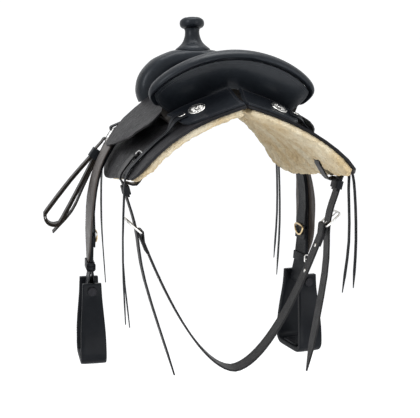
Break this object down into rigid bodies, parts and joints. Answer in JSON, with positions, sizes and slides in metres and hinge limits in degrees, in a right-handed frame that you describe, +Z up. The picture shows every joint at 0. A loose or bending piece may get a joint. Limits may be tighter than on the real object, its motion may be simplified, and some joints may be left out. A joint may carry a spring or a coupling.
{
  "type": "trail saddle",
  "caption": "Western trail saddle: leather-covered tree with horn, high cantle, fleece-lined skirts, swinging fenders and stirrups, flank cinch and tied latigo.",
  "frame": {"origin": "on the saddle's centre line at the underside of the skirts' ridge at the rear edge, projected to the middle of the saddle, where it sits on the horse's back", "axes": "+Z up, +Y towards the horse's head, +X to the horse's off (right) side"},
  "size_m": [0.6704, 0.6437, 0.8262],
  "materials": {
    "black_leather": "smooth oiled harness leather, satin",
    "dark_brown_leather": "dark brown-black leather, satin",
    "silver_trim": "bright silver-toned plate",
    "fleece": "cream wool pile with a soft nap",
    "tree_rawhide": "rawhide-covered wood, matt",
    "steel": "brushed steel",
    "brass": "polished brass",
    "worn_black_leather": "smooth leather with a worn, slightly grey bloom"
  },
  "bodies": {
    "saddle": {"cantle_back": "black_leather", "cantle_roll": "black_leather", "fleece_left": "fleece", "fleece_right": "fleece", "front_dee_left": "silver_trim", "front_dee_right": "silver_trim", "front_jockey_left": "black_leather", "front_jockey_right": "black_leather", "front_strings_left": "black_leather", "front_strings_right": "black_leather", "ground_seat": "tree_rawhide", "horn_cap": "black_leather", "horn_neck_wrap": "black_leather", "horn_post": "steel", "latigo": "dark_brown_leather", "latigo_keeper": "black_leather", "rear_concho_left": "silver_trim", "rear_concho_right": "silver_trim", "rear_jockey_left": "black_leather", "rear_jockey_right": "black_leather", "rear_rigging_left": "silver_trim", "rear_rigging_right": "silver_trim", "rear_strings_left": "black_leather", "rear_strings_right": "black_leather", "rigging_leather_left": "black_leather", "rigging_leather_right": "black_leather", "seat": "worn_black_leather", "seat_jockey_left": "worn_black_leather", "seat_jockey_right": "worn_black_leather", "skirt_left": "worn_black_leather", "skirt_right": "worn_black_leather", "swell_cover": "black_leather", "tree_bar_left": "tree_rawhide", "tree_bar_right": "tree_rawhide", "tree_cantle": "tree_rawhide", "tree_fork": "tree_rawhide"},
    "left_leg": {"stirrup_leather_left": "black_leather", "fender_left": "dark_brown_leather", "leather_buckle_left": "brass", "hobble_strap_left": "black_leather", "hobble_buckle_left": "steel"},
    "right_leg": {"stirrup_leather_right": "black_leather", "fender_right": "dark_brown_leather", "leather_buckle_right": "brass", "hobble_strap_right": "black_leather", "hobble_buckle_right": "steel"},
    "left_stirrup": {"stirrup_left": "black_leather", "stirrup_bolt_left": "steel", "stirrup_tread_left": "black_leather"},
    "right_stirrup": {"stirrup_right": "black_leather", "stirrup_bolt_right": "steel", "stirrup_tread_right": "black_leather"},
    "flank_rig": {"flank_billet_left": "black_leather", "flank_billet_right": "black_leather", "billet_keeper_left": "black_leather", "billet_keeper_right": "black_leather", "flank_buckle_left": "silver_trim", "flank_buckle_right": "silver_trim", "flank_cinch": "black_leather"}
  },
  "joints": [
    {"name": "left_leg_swing", "type": "hinge", "parent": "saddle", "child": "left_leg", "pos_m": [-0.07823, 0.125, 0.00805], "axis": [0.5446, 0, -0.8387], "range_deg": [-7, 5]},
    {"name": "right_leg_swing", "type": "hinge", "parent": "saddle", "child": "right_leg", "pos_m": [0.07823, 0.125, 0.00805], "axis": [0.5446, 0, 0.8387], "range_deg": [-7, 5]},
    {"name": "left_stirrup_swing", "type": "hinge", "parent": "left_leg", "child": "left_stirrup", "pos_m": [-0.27282, 0.125, -0.45413], "axis": [0, 1, 0], "range_deg": [-55, 55]},
    {"name": "right_stirrup_swing", "type": "hinge", "parent": "right_leg", "child": "right_stirrup", "pos_m": [0.25211, 0.125, -0.45615], "axis": [-0.1736, 0.9848, 0], "range_deg": [-55, 55]},
    {"name": "flank_swing", "type": "hinge", "parent": "saddle", "child": "flank_rig", "pos_m": [0, -0.222, -0.11221], "axis": [1, 0, 0], "range_deg": [-7, 6]}
  ]
}
